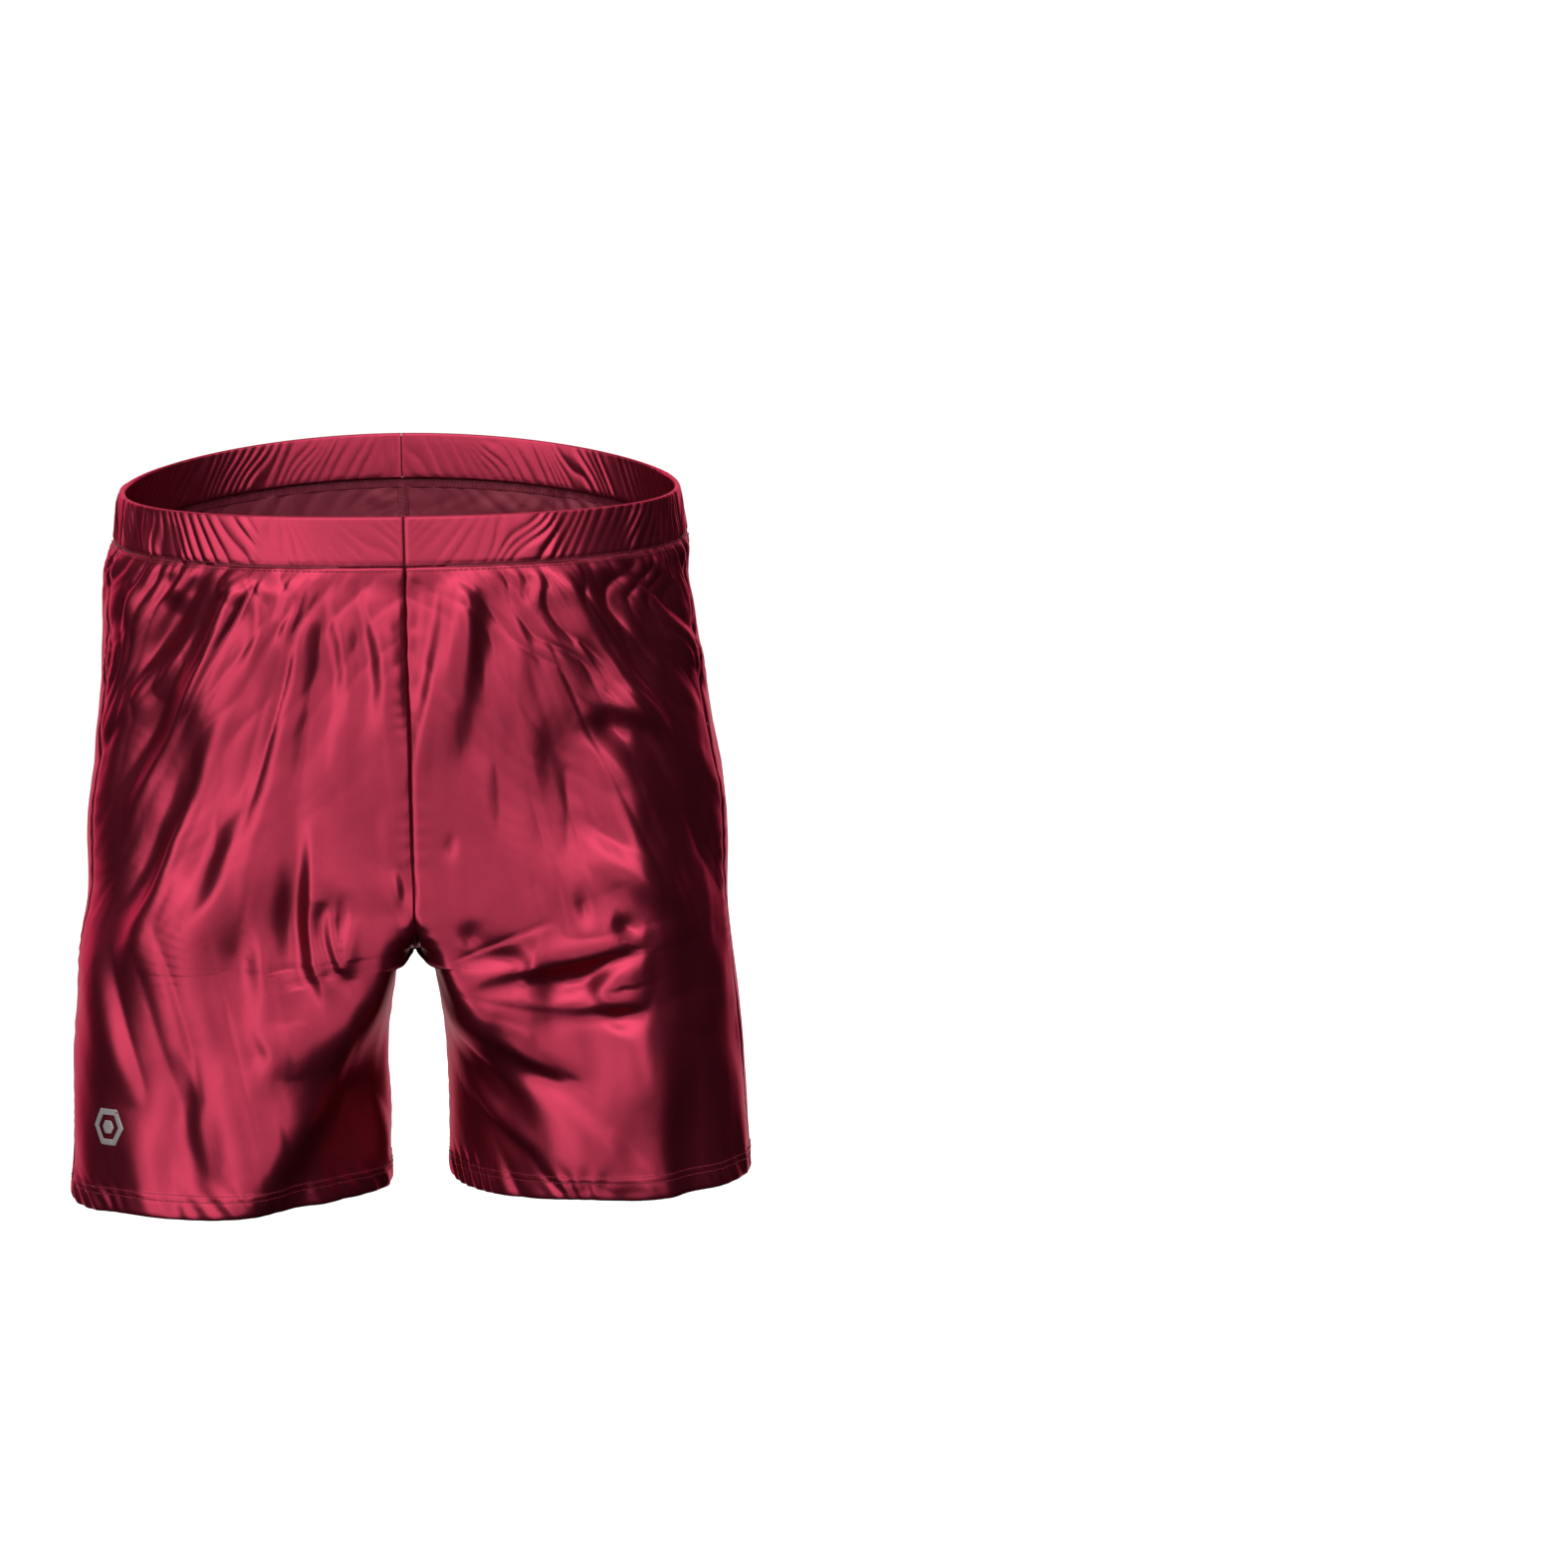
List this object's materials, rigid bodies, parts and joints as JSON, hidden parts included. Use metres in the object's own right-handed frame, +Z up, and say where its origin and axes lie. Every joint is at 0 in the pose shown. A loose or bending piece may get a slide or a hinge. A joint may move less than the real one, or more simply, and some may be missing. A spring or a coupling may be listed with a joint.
{
  "type": "boxing shorts",
  "caption": "Pull-on satin sports shorts with a gathered elastic waist, side-seam pockets and stitched hems, opened out as worn.",
  "frame": {"origin": "middle of the waist opening, level with the waist edge at the sides", "axes": "+Z up, -Y to the front of the garment, +X to the wearer's left"},
  "size_m": [0.369, 0.2337, 0.409],
  "materials": {
    "satin": "shiny crimson stretch satin",
    "pocketing": "matte knitted lining",
    "thread": "polyester sewing thread",
    "elastic": "ribbed woven elastic",
    "foil": "silver-grey heat transfer film"
  },
  "bodies": {
    "root": {"front_panel_left": "satin", "back_panel_left": "satin", "waist_casing_front_left": "satin", "waist_casing_back_left": "satin", "pocket_bag_outer_left": "pocketing", "pocket_bag_inner_left": "pocketing", "pocket_bartack_upper_left": "thread", "pocket_bartack_lower_left": "thread", "hem_topstitch_upper_left": "thread", "hem_topstitch_lower_left": "thread", "side_seam_left": "thread", "inseam_left": "thread", "front_panel_right": "satin", "back_panel_right": "satin", "waist_casing_front_right": "satin", "waist_casing_back_right": "satin", "pocket_bag_outer_right": "pocketing", "pocket_bag_inner_right": "pocketing", "pocket_bartack_upper_right": "thread", "pocket_bartack_lower_right": "thread", "hem_topstitch_upper_right": "thread", "hem_topstitch_lower_right": "thread", "side_seam_right": "thread", "inseam_right": "thread", "centre_front_seam": "thread", "centre_back_seam": "thread", "waist_seam": "thread", "waist_topstitch_upper": "thread", "waist_topstitch_lower": "thread", "waist_elastic": "elastic", "emblem": "foil"}
  },
  "joints": []
}
